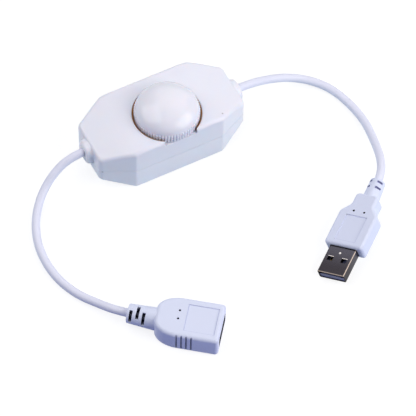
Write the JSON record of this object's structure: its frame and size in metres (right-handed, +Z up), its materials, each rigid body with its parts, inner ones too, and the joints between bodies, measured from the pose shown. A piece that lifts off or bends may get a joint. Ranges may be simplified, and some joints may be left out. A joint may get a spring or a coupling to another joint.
{
  "type": "rotary led dimmer",
  "caption": "Inline lamp dimmer: chamfered two-part housing with a domed fluted knob, a short lead to a flat power plug and a short lead to a matching socket.",
  "frame": {"origin": "middle of the housing's flat bottom", "axes": "+X along the housing towards the plug lead, +Z up through the knob, -Y towards the wall that the knob shows through"},
  "size_m": [0.1505, 0.1197, 0.0316],
  "materials": {
    "housing_plastic": "smooth moulded, glossy",
    "knob_plastic": "polished",
    "zinc_plated_steel": "zinc plated",
    "potentiometer_plastic": "moulded, dark blue",
    "bush_brass": "turned",
    "shaft_aluminium": "turned",
    "tinned_copper": "tinned",
    "board_laminate": "phenolic paper laminate",
    "chip_resin": "moulded, black",
    "capacitor_can": "drawn",
    "resistor_ceramic": "coated ceramic",
    "lead_insulation": "soft vinyl, red",
    "cord_vinyl": "soft vinyl, satin",
    "overmould_vinyl": "soft vinyl, satin",
    "nickel_plated_steel": "nickel plated sheet",
    "insulator_plastic": "moulded, white",
    "plated_contact": "gold plated"
  },
  "bodies": {
    "housing": {"upper_housing": "housing_plastic", "lower_housing": "housing_plastic", "housing_screws": "zinc_plated_steel", "potentiometer_case": "potentiometer_plastic", "potentiometer_bush": "bush_brass", "potentiometer_terminals": "tinned_copper", "circuit_board": "board_laminate", "control_chip": "chip_resin", "power_transistor": "chip_resin", "electrolytic_capacitor": "capacitor_can", "protection_diode": "chip_resin", "chip_resistors": "resistor_ceramic", "input_leads": "lead_insulation", "output_leads": "lead_insulation", "input_cord": "cord_vinyl", "plug_overmould": "overmould_vinyl", "plug_shell": "nickel_plated_steel", "plug_insulator": "insulator_plastic", "plug_contacts": "plated_contact", "output_cord": "cord_vinyl", "socket_overmould": "overmould_vinyl", "socket_shell": "nickel_plated_steel", "socket_insulator": "insulator_plastic", "socket_contacts": "plated_contact"},
    "knob": {"knob": "knob_plastic", "potentiometer_shaft": "shaft_aluminium"}
  },
  "joints": [
    {"name": "knob_turn", "type": "hinge", "parent": "housing", "child": "knob", "pos_m": [0.0006, -0.0038, 0.0206], "axis": [0, 0, -1], "range_deg": [0, 300]}
  ]
}
